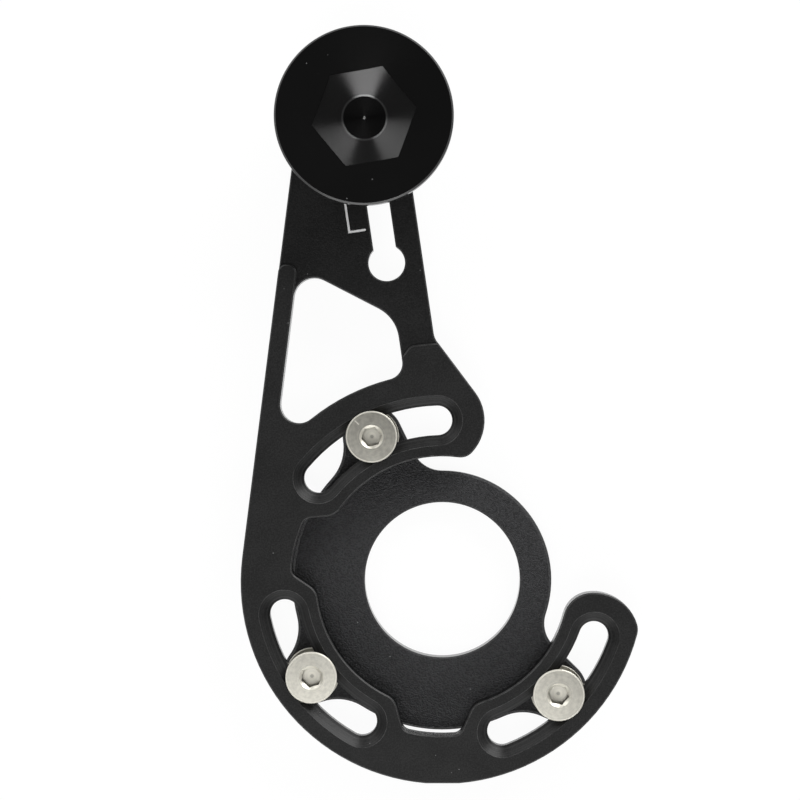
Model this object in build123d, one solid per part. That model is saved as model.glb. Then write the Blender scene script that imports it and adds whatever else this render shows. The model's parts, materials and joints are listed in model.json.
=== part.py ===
from build123d import *
import math
import os

# Bicycle chain guide in millimetres. A slotted back plate turns round a bottom-bracket
# adapter for adjustment, and a turned guide wheel slides along a keyhole slot in its arm.
# The origin is the centre of the adapter's bore on its rear face. +Z runs along the bore
# to the outside of the bicycle, and +Y runs up the arm to the guide wheel.

# Bolt pattern shared by the adapter and the plate
BOLT_CIRCLE_RADIUS = 36.0
FIRST_BOLT_ANGLE = 115.95
BOLT_SPACING_ANGLE = 100.0
BOLT_COUNT = 3
SWING_ANGLE = 24.2

# Clearances
SLIP_GAP = 0.10
THREAD_GAP = 0.05
SLOT_CLEARANCE = 0.60
WASHER_CLEARANCE = 0.40
HEX_FIT_GAP = 0.04

# Adapter
BORE_DIAMETER = 35.0
ADAPTER_THICKNESS = 3.5
ADAPTER_RING_WALL = 7.1
ADAPTER_BODY_INSET = 2.15
LUG_RADIUS = 6.75
LUG_RING_FILLET = 7.0
LUG_BODY_FILLET = 10.5
ADAPTER_CHAMFER = 0.6
BORE_CHAMFER = 0.35

# Mounting bolts and their washers
BOLT_THREAD_DIAMETER = 6.0
BOLT_HEAD_DIAMETER = 11.45
BOLT_HEAD_RIM = 0.25
BOLT_HEAD_EDGE = 0.15
BOLT_HEAD_STAND = 0.125
BOLT_TIP_INSET = 0.8
BOLT_TIP_CHAMFER = 0.6
BOLT_SOCKET_WIDTH = 4.0
BOLT_SOCKET_DEPTH = 2.1
BOLT_SOCKET_POINT = 0.5
BOLT_SOCKET_MOUTH = 5.3
BOLT_SOCKET_TURNS = (10.0, 18.0, 49.0)
WASHER_DIAMETER = 12.0
WASHER_THICKNESS = 1.0
WASHER_EDGE = 0.15

# Hook of the plate
PLATE_THICKNESS = 4.0
OUTER_RAIL = 3.3
INNER_RAIL = 2.4
HOOK_NOSE_EXTRA = 1.6
TIP_NOSE_EXTRA = 1.0
HOOK_INNER_FILLET = 3.5
TIP_INNER_FILLET = 6.5
TIP_OUTER_FILLET = 4.2
FOOT_FLAT = 0.15
PLATE_CHAMFER = 0.25
REAR_EDGE = 0.2

# Notches in the hook's inner edge, midway between the bolts. A slit below 0 is an overlap.
NOTCH_SLITS = (-0.15, 0.3)
NOTCH_FLOOR_WIDTH = 12.6
NOTCH_SIDE_ANGLE = 20.0
NOTCH_FLOOR_FILLET = 2.2
NOTCH_MOUTH_FILLET = 4.0

# Arm of the plate: its slot leans to -X, its left edge leans to +X
ARM_LEAN = 8.35
ARM_AXIS_OFFSET = -1.97
ARM_RIGHT_REACH = 8.1
LEFT_EDGE_LEAN = 7.17
SHOULDER_ANGLE = 53.1
SHOULDER_FILLET = 4.0
ARM_END_WALL = 5.5
ARM_END_FILLET = 5.0
ARM_STEP = 1.0
STEP_BELOW_SHOULDER = 1.25
STEP_TILT = 3.4
STEP_CORNER_FILLET = 2.4
STEP_FOOT_LAND = 0.6
FINGER_RISE = 0.15
FINGER_FLAT = 0.47

# Window in the arm
LEFT_BAR = 4.07
RIGHT_BAR = 7.85
WINDOW_SILL = 1.75
WINDOW_RIGHT_SIDE = 13.21
WINDOW_TOP_ANGLE = 35.6
WINDOW_TOP_LEFT_FILLET = 4.55
WINDOW_TOP_RIGHT_FILLET = 8.5
WINDOW_BOTTOM_LEFT_FILLET = 4.2
WINDOW_BOTTOM_RIGHT_FILLET = 3.6

# Keyhole slot
KEYHOLE_DIAMETER = 8.2
KEYHOLE_WALL = 5.8
KEYSLOT_WIDTH = 5.05
WHEEL_RISE = 31.1
KEYSLOT_SPARE = 6.0

# Guide wheel
DISC_DIAMETER = 38.8
DISC_RIM = 2.6
DISC_EDGE_CHAMFER = 0.4
DISC_DISH = 2.0
DISC_WEB = 2.4
DRUM_DIAMETER = 24.0
CHAIN_GAP = 8.7
DRUM_EDGE = 0.5
HEX_WIDTH = 20.0
HEX_TURN = 1.5
HUB_RECESS = 0.2
HUB_DISH = 1.5
HUB_FACE_DIAMETER = 9.3
HUB_RING_WIDTH = 0.38
HUB_RING_DROP = 0.1
HUB_PIP_DIAMETER = 0.8
HUB_PIP_DEPTH = 0.4
HUB_FLOOR = 1.25

# Slide bolt
SLIDE_HEAD_CLEARANCE = 0.4
SLIDE_SOCKET_WIDTH = 4.0
SLIDE_SOCKET_DEPTH = 2.4
SLIDE_HEAD_EDGE = 0.4
SLIDE_TIP_ROOM = 0.6

# Levels above the adapter's rear face
washer_top = ADAPTER_THICKNESS + WASHER_THICKNESS
plate_rear = washer_top + SLIP_GAP
plate_front = plate_rear + PLATE_THICKNESS
arm_front = plate_front - ARM_STEP
drum_rear = arm_front + SLIP_GAP
drum_front = drum_rear + CHAIN_GAP
disc_hex_front = drum_front + DISC_WEB
disc_rim_front = disc_hex_front + DISC_DISH
hub_edge = disc_hex_front - HUB_RECESS
hub_ring_level = hub_edge - HUB_DISH
hub_face = hub_ring_level - HUB_RING_DROP

# Sizes that follow
bolt_shank_radius = BOLT_THREAD_DIAMETER / 2 - THREAD_GAP
bolt_head_radius = BOLT_HEAD_DIAMETER / 2
slot_width = BOLT_THREAD_DIAMETER + SLOT_CLEARANCE
slot_bevel = bolt_head_radius - BOLT_HEAD_STAND - slot_width / 2
slot_mouth_half = slot_width / 2 + slot_bevel
outer_radius = BOLT_CIRCLE_RADIUS + slot_mouth_half + OUTER_RAIL
inner_radius = BOLT_CIRCLE_RADIUS - slot_mouth_half - INNER_RAIL
hook_nose_radius = slot_mouth_half + OUTER_RAIL + HOOK_NOSE_EXTRA
tip_nose_radius = slot_mouth_half + OUTER_RAIL + TIP_NOSE_EXTRA
adapter_ring_radius = BORE_DIAMETER / 2 + ADAPTER_RING_WALL
adapter_body_radius = BOLT_CIRCLE_RADIUS - ADAPTER_BODY_INSET
slide_neck_radius = KEYSLOT_WIDTH / 2 - SLIP_GAP
slide_head_radius = (KEYHOLE_DIAMETER - SLIDE_HEAD_CLEARANCE) / 2
hex_half_width = HEX_WIDTH / 2
hex_corner_radius = hex_half_width / math.cos(math.pi / 6)
slide_drill_tip = hub_face - HUB_FLOOR
slide_hole_top = slide_drill_tip - slide_neck_radius / 2
slide_bolt_tip = slide_hole_top - SLIDE_TIP_ROOM
finger_fillet = (LEFT_BAR - FINGER_FLAT) / 2

bolt_angles = [FIRST_BOLT_ANGLE + i * BOLT_SPACING_ANGLE for i in range(BOLT_COUNT)]
notch_angles = [angle + BOLT_SPACING_ANGLE / 2 for angle in bolt_angles[:-1]]


# Points, lines and common forms

def polar(radius, angle):
    """Point at a radius and an angle in degrees round the bore."""
    turn = math.radians(angle)
    return Vector(radius * math.cos(turn), radius * math.sin(turn))


def arm_point(across, height):
    """Point of the arm, across and along the direction of its slot."""
    return Vector(across, height).rotate(Axis.Z, ARM_LEAN)


def meet(point_1, angle_1, point_2, angle_2):
    """Point where two lines cross, each given by a point and a direction in degrees."""
    along_1 = polar(1, angle_1)
    along_2 = polar(1, angle_2)
    between = point_2 - point_1
    cross = along_1.X * along_2.Y - along_1.Y * along_2.X
    return point_1 + along_1 * ((between.X * along_2.Y - between.Y * along_2.X) / cross)


def round_corner(sketch, point, radius):
    """Sketch with the corner nearest to a point rounded."""
    return fillet(sketch.vertices().sort_by_distance(point)[0], radius)


def circle_at(point, radius):
    return Pos(point.X, point.Y) * Circle(radius)


def ring_sector(inner, outer, start_angle, end_angle):
    """Part of a flat ring between two angles."""
    span = end_angle - start_angle
    outside = CenterArc((0, 0), outer, start_angle, span)
    inside = CenterArc((0, 0), inner, start_angle, span)
    return make_face(outside + inside + Line(inside @ 0, outside @ 0) + Line(inside @ 1, outside @ 1))


def nose_meets(edge_radius, nose_radius):
    """Angle from a round on the bolt circle to where it meets an edge about the bore."""
    reach = edge_radius ** 2 + BOLT_CIRCLE_RADIUS ** 2 - nose_radius ** 2
    return math.degrees(math.acos(reach / (2 * edge_radius * BOLT_CIRCLE_RADIUS)))


def arc_slot(width, middle_angle):
    """Slot of a given width along the bolt circle."""
    path = CenterArc((0, 0), BOLT_CIRCLE_RADIUS, middle_angle - SWING_ANGLE, 2 * SWING_ANGLE)
    return SlotArc(path, width)


def turned(*profile):
    """Solid turned about Z from a profile of (radius, height) points."""
    outline = make_face(Polyline(*[(radius, 0, height) for radius, height in profile], close=True))
    return revolve(outline, Axis.Z)


def hex_prism(width, bottom, top, turn=0.0):
    """Hexagonal prism of a width across flats between two levels."""
    hexagon = RegularPolygon(width / 2, 6, major_radius=False, rotation=turn)
    return Pos(0, 0, bottom) * extrude(hexagon, top - bottom)


# Places on the arm
left_edge_angle = 90 - LEFT_EDGE_LEAN
left_edge_foot = polar(outer_radius, 180 - LEFT_EDGE_LEAN)
arm_angle = 90 + ARM_LEAN
right_edge = ARM_AXIS_OFFSET + ARM_RIGHT_REACH
hook_nose = polar(BOLT_CIRCLE_RADIUS, bolt_angles[0] - SWING_ANGLE)
tip_nose = polar(BOLT_CIRCLE_RADIUS, bolt_angles[-1] + SWING_ANGLE)
shoulder_end = hook_nose + polar(hook_nose_radius, 90 - SHOULDER_ANGLE)
shoulder_corner = meet(arm_point(right_edge, 0), arm_angle, shoulder_end, -SHOULDER_ANGLE)

window_sill_radius = outer_radius + WINDOW_SILL
window_right = right_edge - RIGHT_BAR
window_top_right = arm_point(window_right, window_sill_radius + WINDOW_RIGHT_SIDE)
window_top_direction = ARM_LEAN - WINDOW_TOP_ANGLE
window_left_foot = left_edge_foot + polar(LEFT_BAR, -LEFT_EDGE_LEAN)
window_top_left = meet(window_left_foot, left_edge_angle, window_top_right, window_top_direction)

step_right = shoulder_corner - polar(STEP_BELOW_SHOULDER, arm_angle)
step_direction = ARM_LEAN - STEP_TILT
step_left = step_right - polar(RIGHT_BAR - STEP_CORNER_FILLET, step_direction)
step_foot = meet(step_left, 45 + ARM_LEAN, arm_point(window_right, 0), arm_angle)
step_foot_height = step_foot.rotate(Axis.Z, -ARM_LEAN).Y

keyhole_rise = (KEYHOLE_DIAMETER / 2 + KEYHOLE_WALL) / math.cos(math.radians(WINDOW_TOP_ANGLE))
keyhole_slope = (ARM_AXIS_OFFSET - window_right) * math.tan(math.radians(WINDOW_TOP_ANGLE))
keyhole_height = window_sill_radius + WINDOW_RIGHT_SIDE - keyhole_slope + keyhole_rise
wheel_height = keyhole_height + WHEEL_RISE
keyslot_end_height = wheel_height + KEYSLOT_SPARE
arm_end_height = keyslot_end_height + KEYSLOT_WIDTH / 2 + ARM_END_WALL
wheel_centre = arm_point(ARM_AXIS_OFFSET, wheel_height)
at_wheel = Pos(wheel_centre.X, wheel_centre.Y, 0) * Rot(0, 0, ARM_LEAN)


# Adapter

def adapter_outline():
    ring = Circle(adapter_ring_radius)
    body = ring_sector(BORE_DIAMETER / 4, adapter_body_radius, bolt_angles[0], bolt_angles[-1])
    outline = ring + body
    for angle in bolt_angles:
        outline += circle_at(polar(BOLT_CIRCLE_RADIUS, angle), LUG_RADIUS)
    ring_meets_lug = math.degrees(math.asin(LUG_RADIUS / adapter_ring_radius))
    for angle, side in ((bolt_angles[0], -1), (bolt_angles[-1], 1)):
        neck = Pos(BOLT_CIRCLE_RADIUS / 2, side * LUG_RADIUS / 2) * Rectangle(BOLT_CIRCLE_RADIUS, LUG_RADIUS)
        outline += Rot(0, 0, angle) * neck
        corner = polar(adapter_ring_radius, angle + side * ring_meets_lug)
        outline = round_corner(outline, corner, LUG_RING_FILLET)
    body_meets_lug = nose_meets(adapter_body_radius, LUG_RADIUS)
    body_corners = [angle + body_meets_lug for angle in bolt_angles[:-1]]
    body_corners += [angle - body_meets_lug for angle in bolt_angles[1:]]
    for angle in body_corners:
        outline = round_corner(outline, polar(adapter_body_radius, angle), LUG_BODY_FILLET)
    return outline


def make_adapter():
    body = extrude(adapter_outline(), ADAPTER_THICKNESS)
    body = chamfer(body.faces().sort_by(Axis.Z)[-1].edges(), ADAPTER_CHAMFER)
    body = chamfer(body.faces().sort_by(Axis.Z)[0].edges(), REAR_EDGE)
    bore_radius = BORE_DIAMETER / 2
    body -= extrude(Circle(bore_radius), ADAPTER_THICKNESS)
    mouth_radius = bore_radius + BORE_CHAMFER
    body -= turned((0, ADAPTER_THICKNESS - BORE_CHAMFER), (bore_radius, ADAPTER_THICKNESS - BORE_CHAMFER),
                   (mouth_radius, ADAPTER_THICKNESS), (0, ADAPTER_THICKNESS))
    for angle in bolt_angles:
        place = polar(BOLT_CIRCLE_RADIUS, angle)
        body -= extrude(circle_at(place, BOLT_THREAD_DIAMETER / 2), ADAPTER_THICKNESS)
    return body


# Mounting bolts and washers

def make_mount_bolt(angle, socket_turn):
    cone_top = plate_front + BOLT_HEAD_STAND + SLIP_GAP * math.sqrt(2)
    head_top = cone_top + BOLT_HEAD_RIM + BOLT_HEAD_EDGE
    cone_bottom = cone_top - (bolt_head_radius - bolt_shank_radius)
    bolt = turned((0, BOLT_TIP_INSET), (bolt_shank_radius - BOLT_TIP_CHAMFER, BOLT_TIP_INSET),
                  (bolt_shank_radius, BOLT_TIP_INSET + BOLT_TIP_CHAMFER), (bolt_shank_radius, cone_bottom),
                  (bolt_head_radius, cone_top), (bolt_head_radius, cone_top + BOLT_HEAD_RIM),
                  (bolt_head_radius - BOLT_HEAD_EDGE, head_top), (0, head_top))
    socket_floor = head_top - BOLT_SOCKET_DEPTH
    bolt -= hex_prism(BOLT_SOCKET_WIDTH, socket_floor, head_top, turn=socket_turn)
    drill_radius = BOLT_SOCKET_WIDTH / 2
    bolt -= turned((0, socket_floor - BOLT_SOCKET_POINT), (drill_radius, socket_floor), (0, socket_floor))
    mouth_radius = BOLT_SOCKET_MOUTH / 2
    bolt -= turned((0, head_top - mouth_radius), (mouth_radius, head_top), (0, head_top))
    place = polar(BOLT_CIRCLE_RADIUS, angle)
    return Pos(place.X, place.Y, 0) * bolt


def make_spacer_washer(angle):
    hole = BOLT_THREAD_DIAMETER / 2 + WASHER_CLEARANCE / 2
    rim = WASHER_DIAMETER / 2
    washer = turned((hole, ADAPTER_THICKNESS), (rim - WASHER_EDGE, ADAPTER_THICKNESS),
                    (rim, ADAPTER_THICKNESS + WASHER_EDGE), (rim, washer_top - WASHER_EDGE),
                    (rim - WASHER_EDGE, washer_top), (hole, washer_top))
    place = polar(BOLT_CIRCLE_RADIUS, angle)
    return Pos(place.X, place.Y, 0) * washer


# Back plate

def hook_outline():
    """Hook round the bottom bracket, with its two rounded ends."""
    band = Circle(outer_radius) - Circle(inner_radius)
    hook = ring_sector(inner_radius, outer_radius, bolt_angles[0] - SWING_ANGLE, bolt_angles[-1] + SWING_ANGLE)
    hook += circle_at(tip_nose, tip_nose_radius) & band
    hook += circle_at(hook_nose, hook_nose_radius) - Circle(inner_radius)
    hook_end_angle = bolt_angles[0] - SWING_ANGLE
    tip_end_angle = bolt_angles[-1] + SWING_ANGLE
    hook_corner = polar(inner_radius, hook_end_angle - nose_meets(inner_radius, hook_nose_radius))
    tip_corner = polar(inner_radius, tip_end_angle + nose_meets(inner_radius, tip_nose_radius))
    tip_outer_corner = polar(outer_radius, tip_end_angle + nose_meets(outer_radius, tip_nose_radius))
    hook = round_corner(hook, hook_corner, HOOK_INNER_FILLET)
    hook = round_corner(hook, tip_corner, TIP_INNER_FILLET)
    return round_corner(hook, tip_outer_corner, TIP_OUTER_FILLET)


def arm_outline():
    """Arm from the hook's outer edge and nose up to its end above the guide wheel."""
    end_right = arm_point(right_edge, arm_end_height)
    end_left = meet(left_edge_foot, left_edge_angle, end_right, ARM_LEAN)
    corners = [left_edge_foot, end_left, end_right, shoulder_corner, shoulder_end, hook_nose]
    arm = make_face(Polyline(*corners, close=True))
    arm = round_corner(arm, end_left, ARM_END_FILLET)
    arm = round_corner(arm, end_right, ARM_END_FILLET)
    return round_corner(arm, shoulder_corner, SHOULDER_FILLET)


def window_corner_fillet():
    """Fillet of the window's bottom right corner, which ends on the straight side below the step."""
    side_end = step_foot_height - STEP_FOOT_LAND
    room = side_end ** 2 - window_sill_radius ** 2 + window_right ** 2
    return min(WINDOW_BOTTOM_RIGHT_FILLET, room / (2 * (window_sill_radius + window_right)))


def window_outline():
    low_right = arm_point(window_right, 0)
    window = make_face(Polyline(window_left_foot, low_right, window_top_right, window_top_left, close=True))
    window -= Circle(window_sill_radius)
    sill_right = arm_point(window_right, math.sqrt(window_sill_radius ** 2 - window_right ** 2))
    left_reach = outer_radius - LEFT_BAR
    sill_left = polar(left_reach, 180 - LEFT_EDGE_LEAN)
    sill_left += polar(math.sqrt(window_sill_radius ** 2 - left_reach ** 2), left_edge_angle)
    window = round_corner(window, sill_right, window_corner_fillet())
    window = round_corner(window, sill_left, WINDOW_BOTTOM_LEFT_FILLET)
    window = round_corner(window, window_top_right, WINDOW_TOP_RIGHT_FILLET)
    return round_corner(window, window_top_left, WINDOW_TOP_LEFT_FILLET)


def keyhole_outline():
    slot_length = keyslot_end_height - keyhole_height
    hole = Pos(ARM_AXIS_OFFSET, keyhole_height) * Circle(KEYHOLE_DIAMETER / 2)
    slot = Pos(ARM_AXIS_OFFSET, keyhole_height + slot_length / 2) * Rectangle(KEYSLOT_WIDTH, slot_length)
    end = Pos(ARM_AXIS_OFFSET, keyslot_end_height) * Circle(KEYSLOT_WIDTH / 2)
    return Rot(0, 0, ARM_LEAN) * (hole + slot + end)


def cut_notch(hook, angle, slit):
    """Hook with a notch cut in its inner edge, wider at its mouth, past the adapter's edge by a slit."""
    notch_radius = adapter_body_radius + slit
    flare = math.tan(math.radians(NOTCH_SIDE_ANGLE))
    floor_half = NOTCH_FLOOR_WIDTH / 2
    floor_reach = math.sqrt(notch_radius ** 2 - floor_half ** 2)
    mouth_half = floor_half + floor_reach * flare
    sides = Polyline((0, -mouth_half), (floor_reach, -floor_half), (floor_reach, floor_half), (0, mouth_half),
                     close=True)
    bulge = ring_sector(inner_radius / 2, notch_radius, -math.degrees(math.asin(floor_half / notch_radius)),
                        math.degrees(math.asin(floor_half / notch_radius)))
    hook -= Rot(0, 0, angle) * (make_face(sides) + bulge)
    for side in (-1, 1):
        floor_corner = Vector(floor_reach, side * floor_half).rotate(Axis.Z, angle)
        hook = round_corner(hook, floor_corner, NOTCH_FLOOR_FILLET)
        mouth_corner = polar(inner_radius, angle + side * notch_mouth_angle(notch_radius))
        hook = round_corner(hook, mouth_corner, NOTCH_MOUTH_FILLET)
    return hook


def notch_mouth_angle(notch_radius):
    """Angle from a notch's middle to where its flared side meets the hook's inner edge."""
    floor_half = NOTCH_FLOOR_WIDTH / 2
    flare = math.radians(NOTCH_SIDE_ANGLE)
    floor_reach = math.sqrt(notch_radius ** 2 - floor_half ** 2)
    side_distance = floor_half * math.cos(flare) + floor_reach * math.sin(flare)
    return math.degrees(math.asin(side_distance / inner_radius) - flare)


def step_cutter_outline():
    """Region of the arm that is milled thinner, down to the step beside the window."""
    beyond = 2 * outer_radius
    into_window = step_left + polar(STEP_CORNER_FILLET + RIGHT_BAR / 2, 180 + 45 + ARM_LEAN)
    far_left = step_left - polar(beyond, step_direction)
    far_right = step_right + polar(beyond, step_direction)
    rise = polar(beyond + arm_end_height, arm_angle)
    corners = [far_right, far_right + rise, far_left + rise, far_left, into_window, step_left]
    region = make_face(Polyline(*corners, close=True))
    region = round_corner(region, step_left, STEP_CORNER_FILLET)
    finger_top = window_top_left + polar(FINGER_RISE, left_edge_angle)
    left = finger_top - polar(LEFT_BAR, -LEFT_EDGE_LEAN)
    down = polar(beyond, left_edge_angle)
    finger = make_face(Polyline(left - down, left, finger_top, finger_top - down, close=True))
    finger = round_corner(finger, left, finger_fillet)
    finger = round_corner(finger, finger_top, finger_fillet)
    return region - finger


def chamfered_sheet(outline, thickness):
    """Flat piece on the plate's rear level with its front and rear edges broken."""
    sheet = extrude(outline, thickness)
    sheet = chamfer(sheet.faces().sort_by(Axis.Z)[-1].edges(), PLATE_CHAMFER)
    sheet = chamfer(sheet.faces().sort_by(Axis.Z)[0].edges(), REAR_EDGE)
    return Pos(0, 0, plate_rear) * sheet


def slot_cutter(angle):
    """Arc slot through the plate, with a bevelled mouth for the bolt's cone."""
    through = Pos(0, 0, plate_rear) * extrude(arc_slot(slot_width, angle), PLATE_THICKNESS)
    mouth = extrude(arc_slot(2 * slot_mouth_half, angle), 2 * slot_bevel)
    mouth = chamfer(mouth.faces().sort_by(Axis.Z)[0].edges(), slot_bevel)
    return through + Pos(0, 0, plate_front - slot_bevel) * mouth


def make_back_plate():
    hook = hook_outline()
    for number, angle in enumerate(notch_angles):
        hook = cut_notch(hook, angle, NOTCH_SLITS[number % len(NOTCH_SLITS)])
    hook -= Pos(0, -outer_radius) * Rectangle(outer_radius, 2 * FOOT_FLAT)
    outline = hook + arm_outline() - window_outline() - keyhole_outline()
    arm = chamfered_sheet(outline, PLATE_THICKNESS - ARM_STEP)
    raised = chamfered_sheet(outline - step_cutter_outline(), PLATE_THICKNESS)
    plate = arm + raised
    for angle in bolt_angles:
        plate -= slot_cutter(angle)
    return plate


# Guide wheel

def make_guide_disc():
    rim = DISC_DIAMETER / 2
    rim_rear = disc_rim_front - DISC_RIM
    seat_radius = DRUM_DIAMETER / 2
    disc = turned((0, drum_front), (seat_radius, drum_front), (rim - DISC_EDGE_CHAMFER, rim_rear),
                  (rim, rim_rear + DISC_EDGE_CHAMFER), (rim, disc_rim_front - DISC_EDGE_CHAMFER),
                  (rim - DISC_EDGE_CHAMFER, disc_rim_front), (hex_half_width, disc_hex_front), (0, disc_hex_front))
    disc -= hex_prism(HEX_WIDTH, drum_front, disc_rim_front, turn=HEX_TURN)
    return at_wheel * disc


def make_guide_hub():
    ring_radius = HUB_FACE_DIAMETER / 2 + HUB_RING_WIDTH
    corner_level = hub_edge + HUB_DISH * (hex_corner_radius - hex_half_width) / (hex_half_width - ring_radius)
    drum = DRUM_DIAMETER / 2
    hub = turned((0, drum_rear), (drum - DRUM_EDGE, drum_rear), (drum, drum_rear + DRUM_EDGE),
                 (drum, drum_front), (0, drum_front))
    hub += hex_prism(HEX_WIDTH - 2 * HEX_FIT_GAP, drum_front, corner_level, turn=HEX_TURN)
    hub -= turned((0, hub_face - HUB_PIP_DEPTH), (HUB_PIP_DIAMETER / 2, hub_face),
                  (HUB_FACE_DIAMETER / 2, hub_face), (ring_radius, hub_ring_level),
                  (hex_corner_radius, corner_level), (0, corner_level))
    thread_radius = slide_neck_radius + THREAD_GAP
    hub -= turned((0, drum_rear), (thread_radius, drum_rear), (thread_radius, slide_hole_top),
                  (0, slide_drill_tip))
    return at_wheel * hub


def make_slide_bolt():
    head_top = plate_rear - SLIP_GAP
    tip = slide_bolt_tip
    bolt = turned((0, 0), (slide_head_radius - SLIDE_HEAD_EDGE, 0), (slide_head_radius, SLIDE_HEAD_EDGE),
                  (slide_head_radius, head_top), (slide_neck_radius, head_top),
                  (slide_neck_radius, tip - SLIDE_HEAD_EDGE), (slide_neck_radius - SLIDE_HEAD_EDGE, tip), (0, tip))
    bolt -= hex_prism(SLIDE_SOCKET_WIDTH, 0, SLIDE_SOCKET_DEPTH)
    return at_wheel * bolt


pieces = {
    "bb_adapter": make_adapter(),
    "back_plate": make_back_plate(),
    "guide_disc": make_guide_disc(),
    "guide_hub": make_guide_hub(),
    "slide_bolt": make_slide_bolt(),
}
for number, bolt_angle in enumerate(bolt_angles):
    socket_turn = BOLT_SOCKET_TURNS[number % len(BOLT_SOCKET_TURNS)]
    pieces[f"mount_bolt_{number + 1}"] = make_mount_bolt(bolt_angle, socket_turn)
    pieces[f"spacer_washer_{number + 1}"] = make_spacer_washer(bolt_angle)

os.makedirs("parts", exist_ok=True)
for name, piece in pieces.items():
    export_step(piece, f"parts/{name}.step")
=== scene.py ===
# %% [markdown]
# # A bicycle chain guide
# This guide keeps the chain on a single chainring. A hooked plate of black aluminium is bolted to an
# adapter ring that the bottom bracket clamps, and a flanged wheel hangs over the chain from a slot in the
# plate's arm. The solids come from the CAD frame in metres and keep their places. Each step either gives a
# solid its finish or adds a detail that is too fine for the solids.

# %% Load the frame
import json
import math

import bmesh
import bpy
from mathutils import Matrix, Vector


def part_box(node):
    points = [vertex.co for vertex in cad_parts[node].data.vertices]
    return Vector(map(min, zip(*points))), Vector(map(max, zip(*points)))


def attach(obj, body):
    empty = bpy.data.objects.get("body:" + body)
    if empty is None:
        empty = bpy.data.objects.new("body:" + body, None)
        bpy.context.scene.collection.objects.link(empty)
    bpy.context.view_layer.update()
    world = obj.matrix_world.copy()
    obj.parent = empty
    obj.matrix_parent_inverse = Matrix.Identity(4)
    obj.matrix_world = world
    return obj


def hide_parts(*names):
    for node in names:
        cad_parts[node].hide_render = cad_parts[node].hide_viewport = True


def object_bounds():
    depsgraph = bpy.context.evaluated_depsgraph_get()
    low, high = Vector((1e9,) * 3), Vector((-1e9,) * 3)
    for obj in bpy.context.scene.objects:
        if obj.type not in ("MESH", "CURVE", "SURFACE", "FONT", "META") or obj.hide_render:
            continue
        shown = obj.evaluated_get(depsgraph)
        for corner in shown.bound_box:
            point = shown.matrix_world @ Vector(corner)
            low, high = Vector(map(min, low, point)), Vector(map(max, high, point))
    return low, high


MM = 0.001

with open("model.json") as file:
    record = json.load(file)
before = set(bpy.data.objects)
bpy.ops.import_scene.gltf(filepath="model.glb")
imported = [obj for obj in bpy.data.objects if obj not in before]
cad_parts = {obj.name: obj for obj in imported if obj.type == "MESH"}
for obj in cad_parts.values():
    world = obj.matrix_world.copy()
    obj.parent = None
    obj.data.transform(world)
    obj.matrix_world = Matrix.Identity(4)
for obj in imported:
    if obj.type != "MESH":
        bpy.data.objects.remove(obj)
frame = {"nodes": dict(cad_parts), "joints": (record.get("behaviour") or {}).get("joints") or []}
nodes = frame["nodes"]
cad_low, cad_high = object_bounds()
print("solids:", ", ".join(sorted(nodes)))
print("size in mm:", [round(side / MM, 1) for side in cad_high - cad_low])

# %% [markdown]
# ## Writing node trees as expressions
# A finish is a network of nodes, and networks typed link by link are hard to read. One small class wraps a
# socket. Its operators add Math nodes, also when the number comes first, so `1 - mask` works. Every other
# node comes from its `node` method, which sets the node up and then feeds its sockets.

# %% A socket that takes part in expressions
class Wire:
    """An output socket of a node tree, or the tree alone before its first node."""

    def __init__(self, tree, socket=None):
        self.tree = tree
        self.socket = socket

    def node(self, kind, settings=None, feeds=None, output=0):
        """Add a node, set it up, feed its sockets and return one of its outputs."""
        made = self.tree.nodes.new(kind)
        for name, value in (settings or {}).items():
            setattr(made, name, value)
        for name, value in (feeds or {}).items():
            for part in value if isinstance(value, list) else [value]:
                if isinstance(part, Wire):
                    self.tree.links.new(part.socket, made.inputs[name])
                else:
                    made.inputs[name].default_value = part
        return Wire(self.tree, made.outputs[output] if made.outputs else None)

    def other(self, name):
        """Another output of the same node."""
        return Wire(self.tree, self.socket.node.outputs[name])

    def math(self, operation, first, second=0.0):
        return self.node("ShaderNodeMath", {"operation": operation}, {0: first, 1: second})

    def vector(self, operation, second=(0, 0, 0), output=0):
        """This vector with an operation of Vector Math done to it. The output Value is a plain number."""
        return self.node("ShaderNodeVectorMath", {"operation": operation}, {0: self, 1: second}, output)

    def __add__(self, value):
        return self.math("ADD", self, value)

    def __radd__(self, value):
        return self.math("ADD", value, self)

    def __sub__(self, value):
        return self.math("SUBTRACT", self, value)

    def __rsub__(self, value):
        return self.math("SUBTRACT", value, self)

    def __mul__(self, value):
        return self.math("MULTIPLY", self, value)

    def __rmul__(self, value):
        return self.math("MULTIPLY", value, self)

    def __truediv__(self, value):
        return self.math("DIVIDE", self, value)

    def __lt__(self, value):
        return self.math("LESS_THAN", self, value)

    def __gt__(self, value):
        return self.math("GREATER_THAN", self, value)

    def __abs__(self):
        return self.math("ABSOLUTE", self)

    def fade(self, low, high):
        """0 below low, 1 above high and a smooth step between."""
        return self.node("ShaderNodeMapRange", {"interpolation_type": "SMOOTHSTEP"},
                         {"Value": self, "From Min": low, "From Max": high})

    def mix(self, first, second):
        """Two colours mixed by this value."""
        return self.node("ShaderNodeMix", {"data_type": "RGBA"},
                         {"Factor": self, "A": first, "B": second}, output="Result")


operators = [name.strip("_") for name, part in vars(Wire).items() if name[0] == "_" and callable(part)]
operators.remove("init")
print("operators:", ", ".join(operators))

# %% [markdown]
# ## Starting and closing a finish
# Each finish of the guide starts with an empty tree and the Object coordinates of the surface, which are
# metres in the frame, so a grain size in a pattern is a real size. Each ends in one Principled shader. A
# relief is given as a height in metres and goes through a Bump node.

# %% Starting and closing a finish
def grey(value, red=1.0, blue=1.0):
    """A near-neutral linear colour, with red and blue in proportion to green."""
    return (value * red, value, value * blue, 1.0)


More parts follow.
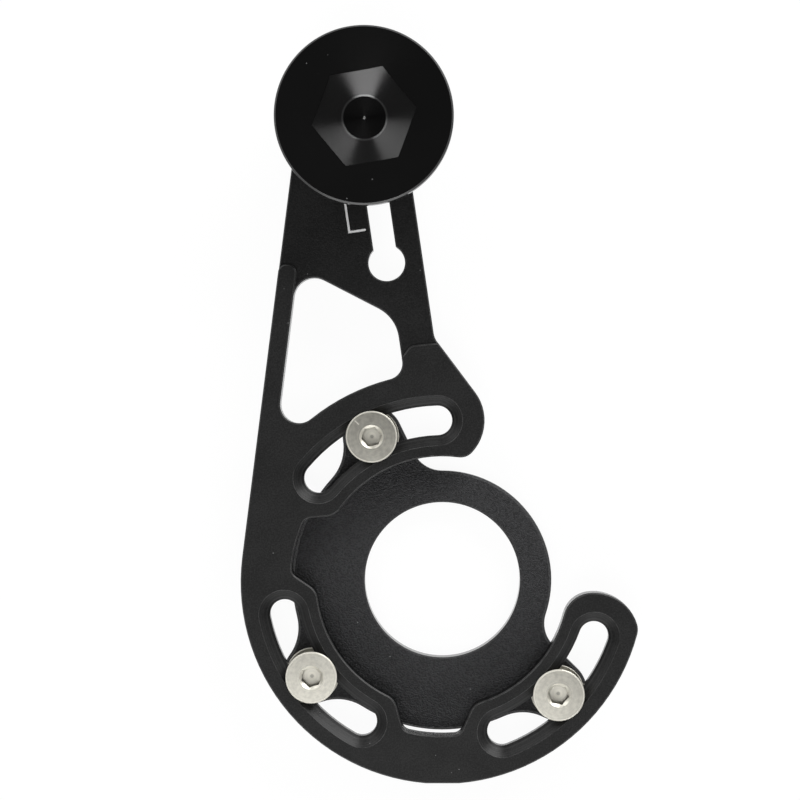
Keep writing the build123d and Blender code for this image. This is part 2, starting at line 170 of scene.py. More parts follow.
def start_finish(name):
    """New material with an empty tree, and the place on the surface that its patterns read."""
    material = bpy.data.materials.new(name)
    material.use_nodes = True
    material.node_tree.nodes.clear()
    return material, Wire(material.node_tree).node("ShaderNodeTexCoord", output="Object")


def close_finish(place, colour, roughness, height, relief, **constants):
    """Principled shader fed by a colour, a roughness and a relief, with plain values for the rest."""
    bump = place.node("ShaderNodeBump", None, {"Strength": 1.0, "Distance": relief, "Height": height})
    feeds = {"Base Color": colour, "Roughness": roughness, "Normal": bump}
    feeds.update({name.replace("_", " "): value for name, value in constants.items()})
    shader = place.node("ShaderNodeBsdfPrincipled", None, feeds)
    place.node("ShaderNodeOutputMaterial", None, {"Surface": shader})


def dress(material, *names):
    """Give CAD nodes a finish."""
    for name in names:
        mesh = nodes[name].data
        mesh.materials.clear()
        mesh.materials.append(material)
    print(material.name, "on", ", ".join(names))


def axis_of(name):
    """Centre of a turned node's box, which is a point on its axis."""
    low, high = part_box(name)
    return (low + high) / 2


print("wheel axis in mm:", [round(side / MM, 2) for side in axis_of("guide_hub").to_2d()])

# %% [markdown]
# ## Patterns
# A noise is given by the size of its features. Turned and milled marks are a noise along one coordinate:
# the radius for a turned piece, and the height for a bevel, because the cutter ran along it at one level.
# Dust is a Voronoi pattern, in which only the points that come near the surface show.

# %% Patterns
def noise(place, size, detail=2.0, stretch=(1.0, 1.0, 1.0)):
    """Noise whose features are about one size across."""
    scaled = place.node("ShaderNodeMapping", {"vector_type": "POINT"},
                        {"Vector": place, "Scale": Vector(stretch) / size})
    return place.node("ShaderNodeTexNoise", None, {"Vector": scaled, "Scale": 1.0, "Detail": detail})


def lines(across, size, detail=3.0):
    """Irregular parallel lines along a coordinate, with a spacing of about one size."""
    return across.node("ShaderNodeTexNoise", {"noise_dimensions": "1D"},
                       {"W": across / size, "Scale": 1.0, "Detail": detail})


def specks(place, cell, radius):
    """Sparse round specks, about one in a cell or fewer."""
    return place.node("ShaderNodeTexVoronoi", None, {"Vector": place, "Scale": 1 / cell}) < radius / cell


def radius_about(place, axis):
    """Distance from a vertical axis."""
    centred = place.node("ShaderNodeMapping", None, {"Vector": place, "Location": (-axis.x, -axis.y, 0)})
    return centred.vector("MULTIPLY", (1, 1, 0)).vector("LENGTH", output="Value")


print("patterns:", [pattern.__name__ for pattern in (noise, lines, specks)])

# %% [markdown]
# ## Masks that follow the shape
# Walls, bevels and flats had different tools on them. They could be told apart by painting, but the normal
# already says which is which: its height is 1 on a flat, 0 on a wall and between on a face that leans. Worn
# edges with a painted highlight on them come from the Bevel node, whose rounded normal differs from the
# true one near an edge only.

# %% Masks that follow the shape
WALL_TO_LEANING = (0.12, 0.35)
STEEP_TO_LEANING = (0.35, 0.55)
LEANING_TO_LEVEL = (0.85, 0.96)
WEAR_AND_HIGHLIGHT_STRETCH = 1.5 * MM
WEAR_AND_HIGHLIGHT_BREAKS = (0.2, 0.55)
WEAR_AND_HIGHLIGHT_SPREAD = 15


def height_of(vector):
    """Z of a place or a direction."""
    return vector.node("ShaderNodeSeparateXYZ", None, {0: vector}, output="Z")


def uprightness(place):
    """1 on level faces, 0 on walls and between on faces that lean."""
    return abs(height_of(place.other("Normal")))


def slope_mask(place):
    """1 on faces at about 45 degrees, such as chamfers and bevels, and 0 on flats and walls."""
    upright = uprightness(place)
    return upright.fade(*STEEP_TO_LEANING) * (1 - upright.fade(*LEANING_TO_LEVEL))


def wall_mask(place):
    """1 on walls and 0 on all that can be seen from straight above."""
    return 1 - uprightness(place).fade(*WALL_TO_LEANING)


def edge_mask(place, reach, blunt=0.03):
    """1 on the edges of a piece, broken here and there, and 0 past a reach. Blunt edges show less."""
    rounded = place.node("ShaderNodeBevel", {"samples": 6}, {"Radius": reach})
    true = place.node("ShaderNodeNewGeometry", output="Normal")
    match = rounded.vector("DOT_PRODUCT", true, output="Value")
    return (1 - match).fade(blunt / WEAR_AND_HIGHLIGHT_SPREAD, blunt) * noise(place, WEAR_AND_HIGHLIGHT_STRETCH).fade(*WEAR_AND_HIGHLIGHT_BREAKS)


print("a wall leans less than", round(math.degrees(math.asin(WALL_TO_LEANING[1]))), "degrees")

# %% [markdown]
# ## The plate: blasted and anodised
# The plate is milled from flat stock, blasted with fine grit and dyed black in the anodising bath. Blasting
# leaves an even grain a few tenths of a millimetre across. The arm was milled thinner than the hook, and
# its lower face is a little smoother; it is also painted darker, which is painted shade, and a mask by
# height tells it from the hook. The bevels of the slots were cut last and show the cutter's lines. A slope
# mask finds them, because bevels and chamfers are the only faces of the plate that lean. The walls are
# milled smooth, and the edges are worn and carry a painted highlight, most of all near the bore.

# %% Plate finish
BLAST_GRAIN = 0.32 * MM
BLAST_RELIEF = 0.075 * MM
DYE_CLOUD = 9 * MM
HOOK_DYE = (grey(0.003), grey(0.0155))
ARM_DYE_PAINTED_SHADE = (grey(0.0004), grey(0.009))
ARM_FROM_DEPTH = 0.6 * MM
HOOK_TO_DEPTH = 0.3 * MM
CUTTER_STEP = 0.45 * MM
CUTTER_GREY = grey(0.028)
EDGE_REACH = 0.2 * MM
PLATE_BLUNTNESS = 0.05
PLATE_WEAR_AND_HIGHLIGHT_GREY = grey(0.14)
WEAR_AND_HIGHLIGHT_RADII = (36 * MM, 42 * MM)
DUST_RADIUS = 0.14 * MM
PLATE_DUST_CELL = 5.2 * MM
PLATE_DUST_GREY = grey(0.16)


def make_plate_black():
    material, place = start_finish("plate_black")
    grain = noise(place, BLAST_GRAIN)
    cloud = noise(place, DYE_CLOUD, detail=3.0)
    bevel = slope_mask(place)
    height = height_of(place)
    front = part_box("back_plate")[1].z
    milled = (1 - height.fade(front - ARM_FROM_DEPTH, front - HOOK_TO_DEPTH)) * (1 - bevel)
    cutter = lines(height, CUTTER_STEP)
    speckle = (grain * 0.7 + cloud * 0.3).fade(0.4, 0.62)
    # The arm's darker dye is painted shade.
    colour = milled.mix(speckle.mix(*HOOK_DYE), speckle.mix(*ARM_DYE_PAINTED_SHADE))
    colour = (bevel * cutter.fade(0.48, 0.7)).mix(colour, CUTTER_GREY)
    near_bore = 1 - radius_about(place, Vector()).fade(*WEAR_AND_HIGHLIGHT_RADII)
    # Edge wear with a painted highlight on it, strongest near the bore.
    wear_and_highlight = edge_mask(place, EDGE_REACH, PLATE_BLUNTNESS) * (0.5 + near_bore * 0.5)
    colour = wear_and_highlight.mix(colour, PLATE_WEAR_AND_HIGHLIGHT_GREY)
    colour = specks(place, PLATE_DUST_CELL, DUST_RADIUS).mix(colour, PLATE_DUST_GREY)
    roughness = 0.51 + grain * 0.1 - milled * 0.1 - bevel * 0.12 - wall_mask(place) * 0.34
    relief = grain * (1 - bevel * 0.8) + cutter * bevel * 0.35
    close_finish(place, colour, roughness, relief, BLAST_RELIEF, Specular_IOR_Level=0.42)
    return material


dress(make_plate_black(), "back_plate")

# %% [markdown]
# ## The adapter: a coarser skin
# The adapter is a cheaper blank under the same dye. Its skin is rougher, like fine leather, and a little
# lighter and bluer. Two noises, one stretched, give short creases without a visible direction. Its walls
# are smooth.

# %% Adapter finish
SKIN_CREASE = 0.42 * MM
SKIN_GRAIN = 0.24 * MM
SKIN_CLOUD = 12 * MM
SKIN_RELIEF = 0.15 * MM
SKIN_DYE = (grey(0.012, blue=1.09), grey(0.03, blue=1.09))
ADAPTER_WEAR_AND_HIGHLIGHT_GREY = grey(0.03)
ADAPTER_DUST_CELL = 4.4 * MM
ADAPTER_DUST_GREY = grey(0.2)


def make_adapter_black():
    material, place = start_finish("adapter_black")
    crease = noise(place, SKIN_CREASE, detail=3.0, stretch=(1.0, 1.3, 1.0))
    fine = noise(place, SKIN_GRAIN)
    cloud = noise(place, SKIN_CLOUD)
    skin = crease.fade(0.34, 0.66) * 0.75 + fine * 0.25
    tone = skin * 0.8 + cloud * 0.2
    colour = tone.fade(0.25, 0.75).mix(*SKIN_DYE)
    # Pale edges: wear with a painted highlight on it.
    colour = edge_mask(place, EDGE_REACH).mix(colour, ADAPTER_WEAR_AND_HIGHLIGHT_GREY)
    colour = specks(place, ADAPTER_DUST_CELL, DUST_RADIUS).mix(colour, ADAPTER_DUST_GREY)
    wall = wall_mask(place)
    roughness = 0.42 + skin * 0.1 - wall * 0.36
    close_finish(place, colour, roughness, skin * (1 - wall), SKIN_RELIEF, Specular_IOR_Level=0.5)
    return material


dress(make_adapter_black(), "bb_adapter")

# %% [markdown]
# ## The wheel's disc: smooth satin black
# The disc is turned and anodised without blasting, so it is the darkest piece. Very fine turning rings run
# about the wheel's axis, and a few specks of dust lie on it. Dye is thin on sharp edges, so the chamfer of
# the rim shines like the metal under it.

# %% Disc finish
DISC_RING = 0.2 * MM
DISC_RELIEF = 0.001 * MM
DISC_CLOUD = 10 * MM
DISC_DYE = (grey(0.0062), grey(0.0078))
DISC_RIM_GREY = grey(0.075)
DISC_DUST_CELL = 3.2 * MM
DISC_DUST_RADIUS = 0.16 * MM
DISC_DUST_GREY = grey(0.14)


def make_disc_black():
    material, place = start_finish("disc_black")
    rings = lines(radius_about(place, axis_of("guide_disc")), DISC_RING)
    cloud = noise(place, DISC_CLOUD)
    dust = specks(place, DISC_DUST_CELL, DISC_DUST_RADIUS)
    edge = slope_mask(place)
    colour = dust.mix(cloud.mix(*DISC_DYE), DISC_DUST_GREY)
    colour = edge.mix(colour, DISC_RIM_GREY)
    roughness = 0.13 + rings * 0.05 + dust * 0.3 + edge * 0.15
    close_finish(place, colour, roughness, rings, DISC_RELIEF, Metallic=edge, Specular_IOR_Level=0.22)
    return material


dress(make_disc_black(), "guide_disc")

# %% [markdown]
# ## The wheel's hub: bright-turned under black
# The hub's cone was finished with a sharp tool at a fine feed, which leaves concentric grooves too small to
# see. They spread light across the grooves but not along them, so each lamp becomes a bright fan on the
# cone. The shader's anisotropy does this: without a tangent of its own it runs round the vertical axis
# through the middle of the piece, which is the axis that the hub was turned about. A quarter turn then
# points the long side of each highlight across the grooves. The hollow in the nose is darker, with a pale
# lip and the pip that the tool left in its middle.

# %% Hub finish
HUB_RING = 0.12 * MM
HUB_RELIEF = 0.0008 * MM
HOLLOW_RADII = (4.6 * MM, 4.7 * MM)
LIP_RADII = (4.98 * MM, 5.08 * MM)
PIP_RADIUS = 0.28 * MM
CONE_GREYS = (grey(0.092), grey(0.116))
HOLLOW_GREY = grey(0.036)
LIP_GREY = grey(0.26)
PIP_GREY = grey(0.5)
QUARTER_TURN = 0.25


def make_hub_black():
    material, place = start_finish("hub_black")
    radius = radius_about(place, axis_of("guide_hub"))
    rings = lines(radius, HUB_RING)
    inside = 1 - radius.fade(*HOLLOW_RADII)
    lip = (1 - inside) * (1 - radius.fade(*LIP_RADII))
    colour = inside.mix(rings.mix(*CONE_GREYS), HOLLOW_GREY)
    colour = lip.mix(colour, LIP_GREY)
    colour = (radius < PIP_RADIUS).mix(colour, PIP_GREY)
    roughness = 0.22 + rings * 0.06
    close_finish(place, colour, roughness, rings, HUB_RELIEF, Metallic=1.0, Anisotropic=0.85,
                 Anisotropic_Rotation=QUARTER_TURN)
    return material


dress(make_hub_black(), "guide_hub")

# %% [markdown]
# ## The fasteners: turned stainless steel
# Bolts and washers are bare steel with a warm tint. The heads were faced on a lathe, so their rings follow
# each piece's own axis, and each piece gets the same finish centred on itself. Facing also left the heads
# a little domed, so one head shades from dark to light. The pale rim on each head and washer is a painted
# highlight of its chamfer, and the washers are darker steel, which is painted shade. One head has a
# scratch.

# %% Fastener finish
FACING_RING = 0.2 * MM
FACING_RELIEF = 0.0015 * MM
SMUDGE = 0.9 * MM
HEAD_STEEL = (0.49, 0.64)
HEAD_DOME = 2.2
HEAD_HIGHLIGHT_RIM = 5.42 * MM
WASHER_STEEL_PAINTED_SHADE = (0.30, 0.42)
WASHER_HIGHLIGHT_RIM = 5.86 * MM
RIM_BLEND = 0.08 * MM
PALE_STEEL_HIGHLIGHT_AND_SCRATCH = 0.85
SCRATCHED_BOLT = "mount_bolt_1"
SCRATCH_ANGLE = 136
SCRATCH_REACH = (3.9 * MM, 5.2 * MM)
SCRATCH_WIDTH = 0.26 * MM


def steel(value):
    """Colour of stainless steel, a little yellow."""
    return grey(value, red=1.03, blue=0.89)


def scratch_mask(place, axis):
    """1 along a short radial line at an angle about an axis."""
    turn = math.radians(SCRATCH_ANGLE)
    offset = place.vector("SUBTRACT", axis)
    along = offset.vector("DOT_PRODUCT", (math.cos(turn), math.sin(turn), 0), output="Value")
    across = offset.vector("DOT_PRODUCT", (-math.sin(turn), math.cos(turn), 0), output="Value")
    start, end = SCRATCH_REACH
    return (abs(across) < SCRATCH_WIDTH / 2) * (along > start) * (along < end)


def make_steel(name, shades, rim, dome=0.0):
    """Turned steel with a pale rim that is a painted highlight. A dome falls by its value times the radius
    squared.
    """
    material, place = start_finish("steel_" + name)
    axis = axis_of(name)
    radius = radius_about(place, axis)
    rings = lines(radius, FACING_RING)
    smudge = noise(place, SMUDGE, detail=5.0)
    tone = rings * 0.35 + smudge * 0.65
    colour = tone.fade(0.32, 0.68).mix(*[steel(shade) for shade in shades])
    # The pale rim is a painted highlight; the scratch is real wear.
    rim_highlight_and_scratch = radius.fade(rim - RIM_BLEND, rim)
    if name == SCRATCHED_BOLT:
        rim_highlight_and_scratch = rim_highlight_and_scratch + scratch_mask(place, axis)
    colour = rim_highlight_and_scratch.mix(colour, steel(PALE_STEEL_HIGHLIGHT_AND_SCRATCH))
    roughness = 0.32 + rings * 0.08 + smudge * 0.08
    height = rings * FACING_RELIEF - radius * radius * dome
    close_finish(place, colour, roughness, height, 1.0, Metallic=1 - rim_highlight_and_scratch * 0.6)
    return material


bolt_names = sorted(name for name in nodes if name.startswith("mount_bolt"))
washer_names = sorted(name for name in nodes if name.startswith("spacer_washer"))
for fastener in bolt_names:
    dress(make_steel(fastener, HEAD_STEEL, HEAD_HIGHLIGHT_RIM, HEAD_DOME), fastener)
# Washers and the slide bolt take darker steel, which is painted shade.
for fastener in washer_names + ["slide_bolt"]:
    dress(make_steel(fastener, WASHER_STEEL_PAINTED_SHADE, WASHER_HIGHLIGHT_RIM), fastener)

# %% [markdown]
# ## The sockets of the bolts
# The sockets were drilled to a shallow point before the hexagon was pressed, so their floors are ringed.
# The floors are painted pale, which is painted light down in the socket, and the walls are painted darker,
# which is painted shade. They get a second steel, so that the heads keep their own. The drilled floor is
# polished flatter than the cone of the solid, which a little relief brings about.

# %% Socket finish
SOCKET_RING = 0.5 * MM
SOCKET_RELIEF = 0.004 * MM
SOCKET_FLATNESS = 0.2
SOCKET_FLOOR = (0.85, 0.93)
SOCKET_STEEL_PAINTED_LIGHT = (steel(0.84), steel(0.97))
SOCKET_WALL_PAINTED_SHADE = steel(0.2)
DRILL_POINT_RADIUS = 0.4 * MM
DRILL_POINT_STEEL = steel(0.62)


def make_socket_steel(name):
    material, place = start_finish("steel_socket_" + name)
    radius = radius_about(place, axis_of(name))
    rings = lines(radius, SOCKET_RING)
    floor = uprightness(place).fade(*SOCKET_FLOOR)
    # The pale floor steel is painted light down in the socket.
    colour = rings.fade(0.3, 0.7).mix(*SOCKET_STEEL_PAINTED_LIGHT)
    colour = (radius < DRILL_POINT_RADIUS).mix(colour, DRILL_POINT_STEEL)
    # The darker walls are painted shade.
    colour = wall_mask(place).mix(colour, SOCKET_WALL_PAINTED_SHADE)
    roughness = 0.36 + floor * 0.1 + rings * 0.1
    height = rings * SOCKET_RELIEF - radius * floor * SOCKET_FLATNESS
    close_finish(place, colour, roughness, height, 1.0, Metallic=0.9)
    return material


socket_steels = {name: make_socket_steel(name) for name in bolt_names}
print("socket steels:", [material.name for material in socket_steels.values()])

# %% [markdown]
# ## Threads on the mount bolts
# The solids have plain shanks, which is right for fits and collisions, but from behind the real bolts show
# their thread. Geometry Nodes can cut it by rule: the shank is drawn in to the core of the thread, and one
# triangular ridge is swept up a spiral and fades out at both ends. Each bolt is the same tree with its own
# axis, and the result replaces the plain node. The tree is written in four parts: its inputs, the core, the
# ridge, and the shading with its two steels.

# %% Parts of the thread tree
STEPS_PER_TURN = 48
RIDGE_SIDES = 3
RIDGE_END = 0.04
RUN_IN = 0.08
RUN_OUT = 0.1
SLACK = 0.01 * MM
MERGE_GAP = 0.001 * MM
CRISP_ANGLE = math.radians(30)


def start_thread_tree():
    """Tree with named inputs for a plain bolt, its axis, its sizes and its two steels."""
    tree = bpy.data.node_groups.new("threaded_bolt", "GeometryNodeTree")
    tree.interface.new_socket("Bolt", in_out="INPUT", socket_type="NodeSocketGeometry")
    tree.interface.new_socket("Axis", in_out="INPUT", socket_type="NodeSocketVector")
    for name in ("Shank Radius", "Core Radius", "Pitch", "Thread Bottom", "Thread Top", "Socket Radius"):
        tree.interface.new_socket(name, in_out="INPUT", socket_type="NodeSocketFloat")
    for name in ("Steel", "Socket Steel"):
        tree.interface.new_socket(name, in_out="INPUT", socket_type="NodeSocketMaterial")
    tree.interface.new_socket("Threaded Bolt", in_out="OUTPUT", socket_type="NodeSocketGeometry")
    return tree, Wire(tree).node("NodeGroupInput", output="Bolt")


def draw_in_shank(bolt, out, on_shank):
    """The bolt with its shank drawn in to the core of the thread."""
    shrink = bolt.other("Core Radius") / bolt.other("Shank Radius") - 1
    inward = bolt.node("ShaderNodeVectorMath", {"operation": "SCALE"}, {0: out, "Scale": shrink})
    merged = bolt.node("GeometryNodeMergeByDistance", None, {"Geometry": bolt, "Distance": MERGE_GAP})
    return bolt.node("GeometryNodeSetPosition", None,
                     {"Geometry": merged, "Selection": on_shank, "Offset": inward})


def sweep_ridge(bolt):
    """One triangular ridge up a spiral, which fades out at both ends."""
    bottom = bolt.other("Thread Bottom")
    length = bolt.other("Thread Top") - bottom
    ridge = bolt.other("Pitch") * 0.5
    middle = bolt.other("Shank Radius") - ridge
    spiral = bolt.node("GeometryNodeCurveSpiral", None,
                       {"Resolution": STEPS_PER_TURN, "Rotations": length / bolt.other("Pitch"),
                        "Start Radius": middle, "End Radius": middle, "Height": length, "Reverse": True})
    spiral = bolt.node("GeometryNodeSetCurveNormal", {"mode": "Z_UP"}, {"Curve": spiral})
    along = bolt.node("GeometryNodeSplineParameter", output="Factor")
    full = along.fade(0.0, RUN_IN) * (1 - along.fade(1 - RUN_OUT, 1.0))
    profile = bolt.node("GeometryNodeCurvePrimitiveCircle", {"mode": "RADIUS"},
                        {"Resolution": RIDGE_SIDES, "Radius": ridge})
    thread = bolt.node("GeometryNodeCurveToMesh", None,
                       {"Curve": spiral, "Profile Curve": profile, "Fill Caps": True,
                        "Scale": RIDGE_END + full * (1 - RIDGE_END)})
    lift = bolt.node("ShaderNodeCombineXYZ", None, {"Z": bottom})
    lift = bolt.other("Axis").vector("ADD", lift)
    return bolt.node("GeometryNodeTransform", None, {"Geometry": thread, "Translation": lift})


def shade_and_dress(bolt, whole, in_socket):
    """Smooth faces with crisp edges, made real, in one steel outside the socket and another inside."""
    smooth = bolt.node("GeometryNodeSetShadeSmooth", {"domain": "FACE"},
                       {"Geometry": whole, "Shade Smooth": True})
    bend = bolt.node("GeometryNodeInputMeshEdgeAngle", output="Unsigned Angle")
    crisp = bolt.node("GeometryNodeSetShadeSmooth", {"domain": "EDGE"},
                      {"Geometry": smooth, "Selection": bend > CRISP_ANGLE, "Shade Smooth": False})
    real = bolt.node("GeometryNodeRealizeInstances", None, {"Geometry": crisp})
    dressed = bolt.node("GeometryNodeSetMaterial", None,
                        {"Geometry": real, "Material": bolt.other("Steel")})
    return bolt.node("GeometryNodeSetMaterial", None,
                     {"Geometry": dressed, "Selection": in_socket, "Material": bolt.other("Socket Steel")})


print("a thread ridge has", RIDGE_SIDES, "sides and", STEPS_PER_TURN, "steps in a turn")

# %% [markdown]
# ## Joining the parts of the tree
# Two selections drive the tree. Points on the shank lie within its radius and under the head, and faces of
# the socket lie within the socket's radius and above the thread.

# %% Thread tree
def make_thread_tree():
    """Geometry Nodes tree that turns a plain bolt into a threaded one."""
    tree, bolt = start_thread_tree()
    top = bolt.other("Thread Top")
    place = bolt.node("GeometryNodeInputPosition")
    height = height_of(place)
    out = place.vector("SUBTRACT", bolt.other("Axis")).vector("MULTIPLY", (1, 1, 0))
    radius = out.vector("LENGTH", output="Value")
    on_shank = (radius < bolt.other("Shank Radius") + SLACK) * (height < top + SLACK)
    core = draw_in_shank(bolt, out, on_shank)
    whole = bolt.node("GeometryNodeJoinGeometry", None, {"Geometry": [core, sweep_ridge(bolt)]})
    in_socket = (radius < bolt.other("Socket Radius")) * (height > top)
    bolt.node("NodeGroupOutput", None, {"Threaded Bolt": shade_and_dress(bolt, whole, in_socket)})
    return tree


thread_tree = make_thread_tree()
print("thread tree:", len(thread_tree.nodes), "nodes")

# %% [markdown]
# ## Cutting the threads
# The bolts are M6, so the pitch is 1 mm and the core is about 5 mm thick. The thread stops just under the
# countersunk head. A modifier's inputs are set by their identifiers before the object is first evaluated.

# %% Threaded bolts
M6_SHANK = 2.95 * MM
M6_CORE = 2.45 * MM
M6_PITCH = 1.0 * MM
HEAD_DEPTH = 3.175 * MM
TIP_CHAMFER = 0.6 * MM
SOCKET_RADIUS = 2.66 * MM


def run_tree(name, start_mesh, tree, values):
    """Plain mesh object that a Geometry Nodes tree makes from a start mesh."""
    piece = bpy.data.objects.new(name, start_mesh)
    bpy.context.scene.collection.objects.link(piece)
    modifier = piece.modifiers.new(tree.name, "NODES")
    modifier.node_group = tree
    for socket in tree.interface.items_tree:
        if socket.in_out == "INPUT" and socket.name in values:
            modifier[socket.identifier] = values[socket.name]
    graph = bpy.context.evaluated_depsgraph_get()
    mesh = bpy.data.meshes.new_from_object(piece.evaluated_get(graph))
    piece.modifiers.remove(modifier)
    piece.data = mesh
    return piece


for name in bolt_names:
    low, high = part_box(name)
    centre = axis_of(name)
    sizes = {"Axis": (centre.x, centre.y, 0.0), "Shank Radius": M6_SHANK, "Core Radius": M6_CORE,
             "Pitch": M6_PITCH, "Thread Bottom": low.z + TIP_CHAMFER, "Thread Top": high.z - HEAD_DEPTH,
             "Socket Radius": SOCKET_RADIUS, "Steel": nodes[name].data.materials[0],
             "Socket Steel": socket_steels[name]}
    bolt_piece = run_tree(name + "_threaded", nodes[name].data.copy(), thread_tree, sizes)
    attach(bolt_piece, "adapter")
    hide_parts(name)
    print(bolt_piece.name, len(bolt_piece.data.polygons), "faces")

# %% [markdown]
# ## The index mark
# A thin white bracket is lasered into the arm beside the slot, as a guide for setting the wheel. Its lower
# end shows below the disc. It could be painted by the plate's material, but a mesh a hundredth of a
# millimetre thick keeps a crisp edge at any distance. It is one ribbon with mitred corners and round ends.

# %% Index mark shape
def ribbon_outline(path, width, end_steps=6):
    """Outline of a flat ribbon along a path of points, with mitred corners and round ends."""
    half = width / 2
    directions = [(b - a).normalized() for a, b in zip(path, path[1:])]
    left = []
    right = []
    for index in range(1, len(path) - 1):
        before = directions[index - 1]
        after = directions[index]
        mitre = (before + after).normalized().orthogonal()
        reach = half / mitre.dot(before.orthogonal())
        left.append(path[index] + mitre * reach)
        right.append(path[index] - mitre * reach)
    turns = [math.pi / 2 - math.pi * step / end_steps for step in range(end_steps + 1)]
    ends = []
    for point, direction in ((path[-1], directions[-1]), (path[0], -directions[0])):
        side = direction.orthogonal()
        ends.append([point + side * half * math.sin(turn) + direction * half * math.cos(turn)
                     for turn in turns])
    return left + ends[0] + right[::-1] + ends[1]


def flat_piece(name, outline, bottom, top, material):
    """Thin closed plate over an outline."""
    shape = bmesh.new()
    face = shape.faces.new([shape.verts.new((point.x, point.y, bottom)) for point in outline])
    raised = bmesh.ops.extrude_face_region(shape, geom=[face])["geom"]
    lifted = [item for item in raised if isinstance(item, bmesh.types.BMVert)]
    bmesh.ops.translate(shape, verts=lifted, vec=(0, 0, top - bottom))
    bmesh.ops.recalc_face_normals(shape, faces=shape.faces)
    mesh = bpy.data.meshes.new(name)
    shape.to_mesh(mesh)
    shape.free()
    mesh.materials.append(material)
    piece = bpy.data.objects.new(name, mesh)
    bpy.context.scene.collection.objects.link(piece)
    return piece


slide = next(joint for joint in frame["joints"] if joint["name"] == "guide_slide")
along_arm = Vector(slide["axis"][:2]).normalized()
across_arm = -along_arm.orthogonal()
print("the arm leans", round(math.degrees(math.atan2(-along_arm.x, along_arm.y)), 2), "degrees")

# %% [markdown]
# ## Placing the mark
# The mark's long side runs along the arm, which is the way that the wheel slides, so its direction is that
# of the joint. It sinks a hundredth of a millimetre into the arm's face. That face is found from the hub,
# which stands a tenth of a millimetre clear of it.

# %% Index mark
MARK_CORNER = Vector((-20.75, 77.96)) * MM
MARK_LENGTH = 30 * MM
MARK_TICK = 3.5 * MM
MARK_WIDTH = 0.48 * MM
MARK_SUNK = 0.01 * MM
MARK_PROUD = 0.012 * MM
MARK_GRAIN = 0.1 * MM
MARK_RELIEF = 0.002 * MM
MARK_WHITES = (grey(0.92), grey(0.98))
HUB_CLEARANCE = 0.1 * MM


def make_mark_white():
    material, place = start_finish("mark_white")
    grain = noise(place, MARK_GRAIN)
    close_finish(place, grain.mix(*MARK_WHITES), 0.6 + grain * 0.1, grain, MARK_RELIEF)
    return material


arm_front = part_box("guide_hub")[0].z - HUB_CLEARANCE
tick = across_arm * MARK_TICK
mark_far = MARK_CORNER + along_arm * MARK_LENGTH
mark_path = [MARK_CORNER + tick, MARK_CORNER, mark_far, mark_far + tick]
mark = flat_piece("index_mark", ribbon_outline(mark_path, MARK_WIDTH), arm_front - MARK_SUNK,
                  arm_front + MARK_PROUD, make_mark_white())
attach(mark, "plate")
print("index mark:", len(mark.data.polygons), "faces")

# %% [markdown]
# ## Floor and cove
# The guide lies on a white sweep: a round floor that curves up into a low wall. Seen directly or in a
# reflection it is near white by its own light, and the rest of its tone is lit, so the guide still has a
# soft shadow on it. For the light that it scatters it is plain white card.

# %% Floor and cove
CARD_WHITE = grey(0.8)
SWEEP_GLOW = 1.07
OWN_LIGHT_SHARE = 0.88
FLOOR_GAP = 0.05 * MM
FLOOR_SEAM = 0.01 * MM


def make_sweep_white():
    material, place = start_finish("sweep_white")
    seen = place.node("ShaderNodeLightPath", output="Is Camera Ray")
    seen = seen + seen.other("Is Glossy Ray") + seen.other("Is Transmission Ray")
    seen = place.math("MINIMUM", seen, 1.0)
    card = place.node("ShaderNodeBsdfDiffuse", None, {"Color": CARD_WHITE})
    glow = place.node("ShaderNodeEmission", None, {"Color": grey(1.0), "Strength": SWEEP_GLOW})
    both = place.node("ShaderNodeMixShader", None, {0: seen * OWN_LIGHT_SHARE, 1: card, 2: glow})
    place.node("ShaderNodeOutputMaterial", None, {"Surface": both})
    return material


def make_sweep(floor_radius, cove_radius, wall_top, level, cove_steps=8, steps=96):
    """Round floor that curves up into a wall, as one turned mesh."""
    profile = [(0.0, level), (floor_radius, level)]
    for step in range(1, cove_steps + 1):
        turn = math.pi / 2 * step / cove_steps
        rise = cove_radius * (1 - math.cos(turn))
        profile.append((floor_radius + cove_radius * math.sin(turn), level + rise))
    profile.append((floor_radius + cove_radius, wall_top))
    shape = bmesh.new()
    chain = [shape.verts.new((radius, 0, height)) for radius, height in profile]
    edges = [shape.edges.new(pair) for pair in zip(chain, chain[1:])]
    bmesh.ops.spin(shape, geom=chain + edges, axis=(0, 0, 1), cent=(0, 0, 0), angle=2 * math.pi,
                   steps=steps)
    bmesh.ops.remove_doubles(shape, verts=shape.verts, dist=FLOOR_SEAM)
    bmesh.ops.recalc_face_normals(shape, faces=shape.faces)
    mesh = bpy.data.meshes.new("sweep")
    shape.to_mesh(mesh)
    shape.free()
    mesh.materials.append(make_sweep_white())
    sweep = bpy.data.objects.new("sweep", mesh)
    bpy.context.scene.collection.objects.link(sweep)
    return sweep


sweep = make_sweep(floor_radius=2.6, cove_radius=0.4, wall_top=0.85, level=cad_low.z - FLOOR_GAP)
print("sweep:", [round(side, 2) for side in sweep.dimensions], "m")

# %% [markdown]
# ## Lamps
# Soft boxes light the guide. One stands to the south and high, so that the lower half of the plate and the
# bolt heads there catch it, and a wide low one fills in below it. Two stand to the north-east and the
# north-west. On the hub they make three bright fans, and on the slots they light the bevels that face them.
# The sky is dim, so flat faces seen from above stay dark.

# %% Lamps and sky
SKY_STRENGTH = 0.07


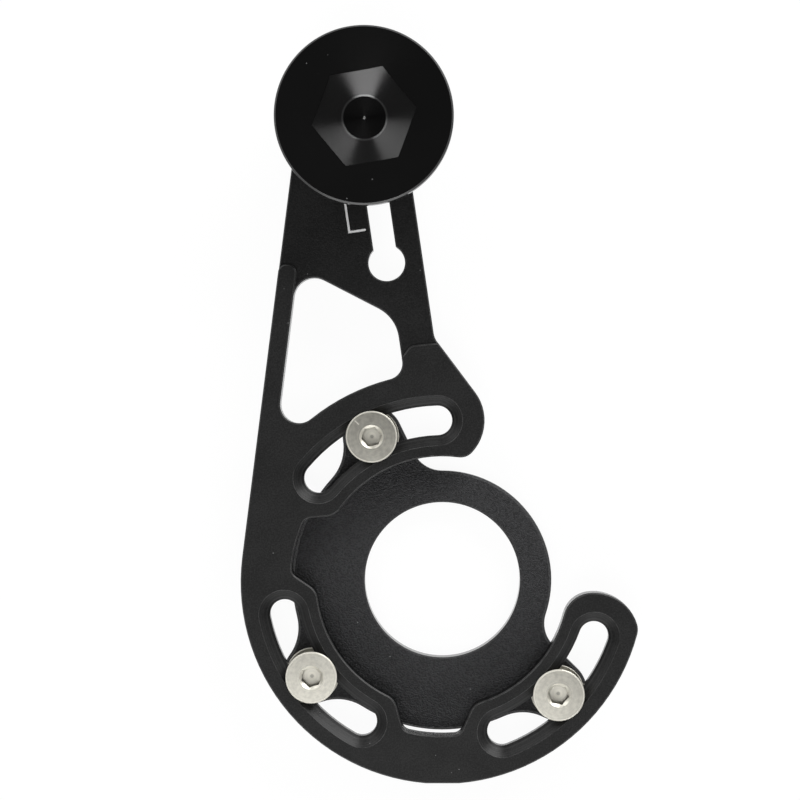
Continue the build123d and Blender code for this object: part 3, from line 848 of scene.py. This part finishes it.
def soft_box(name, azimuth, tilt, distance, width, height, glow):
    """Lamp about the wheel's axis, aimed at the guide. Tilt is from the vertical, and glow 1 is white."""
    turn = math.radians(azimuth)
    lean = math.radians(tilt)
    away = Vector((math.cos(turn) * math.sin(lean), math.sin(turn) * math.sin(lean), math.cos(lean)))
    light = bpy.data.lights.new(name, "AREA")
    light.shape = "RECTANGLE"
    light.size = width
    light.size_y = height
    light.energy = glow * math.pi * width * height
    lamp = bpy.data.objects.new(name, light)
    lamp.location = axis_of("guide_hub") + away * distance
    aim = (cad_low + cad_high) / 2 - lamp.location
    lamp.rotation_euler = aim.to_track_quat("-Z", "Y").to_euler()
    lamp.visible_camera = False
    bpy.context.scene.collection.objects.link(lamp)


soft_box("south_box", azimuth=-95, tilt=32, distance=0.70, width=0.36, height=0.36, glow=2.6)
soft_box("south_fill", azimuth=-90, tilt=72, distance=0.80, width=1.00, height=0.24, glow=3.6)
soft_box("north_east_box", azimuth=51, tilt=69, distance=0.62, width=0.54, height=0.36, glow=5.6)
soft_box("north_west_box", azimuth=138, tilt=61, distance=0.62, width=0.48, height=0.40, glow=2.0)

world = bpy.data.worlds.new("dim_sky")
world.use_nodes = True
sky = world.node_tree.nodes["Background"]
sky.inputs["Color"].default_value = grey(1.0)
sky.inputs["Strength"].default_value = SKY_STRENGTH
bpy.context.scene.world = world
bpy.context.scene.view_settings.view_transform = "Standard"

# %% [markdown]
# ## Camera
# The photograph looks straight down on the middle of the guide, which lies a little to the right in the
# picture. Tilting the camera would lean the walls the wrong way, so it stays upright, and a small sideways
# shift of the lens moves the guide across.

# %% Camera
IMAGE_SIZE = 800
PIXELS_PER_MM = 4.497
CAMERA_X = -0.667 * MM
CAMERA_Y = 40.54 * MM
CAMERA_RISE = 375 * MM
NADIR_PIXEL = 439.4
SENSOR = 36.0

plate_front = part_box("back_plate")[1].z
camera_data = bpy.data.cameras.new("camera")
camera_data.sensor_width = SENSOR
camera_data.lens = PIXELS_PER_MM / MM * CAMERA_RISE / IMAGE_SIZE * SENSOR
camera_data.shift_x = (IMAGE_SIZE / 2 - NADIR_PIXEL) / IMAGE_SIZE
camera_data.clip_start = 0.01
camera = bpy.data.objects.new("camera", camera_data)
camera.location = (CAMERA_X, CAMERA_Y, plate_front + CAMERA_RISE)
bpy.context.scene.collection.objects.link(camera)
bpy.context.scene.camera = camera
print("lens:", round(camera_data.lens, 1), "mm")
